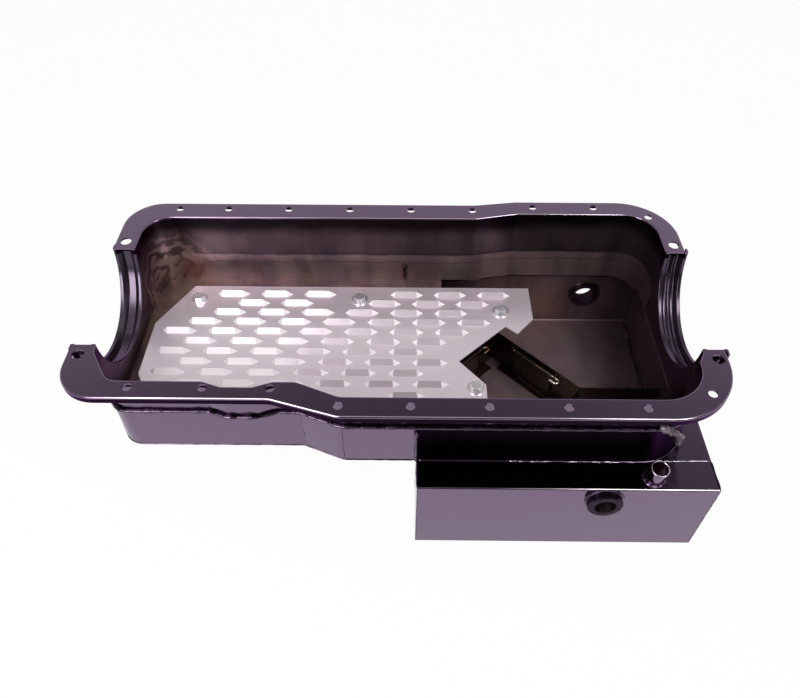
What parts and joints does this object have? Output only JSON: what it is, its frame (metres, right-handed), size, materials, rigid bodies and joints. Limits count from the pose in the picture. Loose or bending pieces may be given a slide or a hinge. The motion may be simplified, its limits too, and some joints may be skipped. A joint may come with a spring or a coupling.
{
  "type": "engine oil pan",
  "caption": "Engine oil pan with half-round end seal channels, louvred windage tray, deep T-shaped sump and a baffle box with swinging trap doors.",
  "frame": {"origin": "centre of the four end bolts on the gasket face, on the crankshaft line", "axes": "+X along the crankshaft towards the deep sump, +Y across the rails, +Z out of the gasket face towards the engine"},
  "size_m": [0.5625, 0.314, 0.178],
  "materials": {
    "black_coat": "gloss black powder coat outside, bare brown-grey steel inside",
    "tray_steel": "bright satin sheet",
    "zinc": "zinc plated",
    "bare_steel": "bare steel, lightly heat tinted",
    "rod_steel": "bright wire",
    "copper": "soft copper"
  },
  "bodies": {
    "pan": {"pan_rail": "black_coat", "lower_wall_left": "black_coat", "lower_wall_right": "black_coat", "shallow_floor": "black_coat", "sump_top": "black_coat", "sump_wrap": "black_coat", "sump_end_left": "black_coat", "sump_end_right": "black_coat", "windage_tray": "tray_steel", "tray_standoffs": "zinc", "tray_brackets": "zinc", "tray_washers": "zinc", "tray_screws": "zinc", "side_baffle": "bare_steel", "baffle_wall_1": "bare_steel", "hinge_rod_1": "rod_steel", "baffle_wall_2": "bare_steel", "hinge_rod_2": "rod_steel", "baffle_wall_3": "bare_steel", "hinge_rod_3": "rod_steel", "baffle_wall_4": "bare_steel", "hinge_rod_4": "rod_steel", "front_bung": "black_coat", "back_bung": "black_coat", "dipstick_tube": "black_coat", "drain_bung": "black_coat", "drain_washer": "copper", "drain_plug": "zinc"},
    "door_1": {"trap_door_1": "bare_steel"},
    "door_2": {"trap_door_2": "bare_steel"},
    "door_3": {"trap_door_3": "bare_steel"},
    "door_4": {"trap_door_4": "bare_steel"}
  },
  "joints": [
    {"name": "door_1_hinge", "type": "hinge", "parent": "pan", "child": "door_1", "pos_m": [0.14549, 0.04199, -0.1395], "axis": [-0.7071, 0.7071, 0], "range_deg": [-3, 55]},
    {"name": "door_2_hinge", "type": "hinge", "parent": "pan", "child": "door_2", "pos_m": [0.14549, -0.03299, -0.1395], "axis": [0.7071, 0.7071, 0], "range_deg": [-3, 55]},
    {"name": "door_3_hinge", "type": "hinge", "parent": "pan", "child": "door_3", "pos_m": [0.07051, -0.03299, -0.1395], "axis": [0.7071, -0.7071, 0], "range_deg": [-3, 55]},
    {"name": "door_4_hinge", "type": "hinge", "parent": "pan", "child": "door_4", "pos_m": [0.07051, 0.04199, -0.1395], "axis": [-0.7071, -0.7071, 0], "range_deg": [-3, 55]}
  ]
}
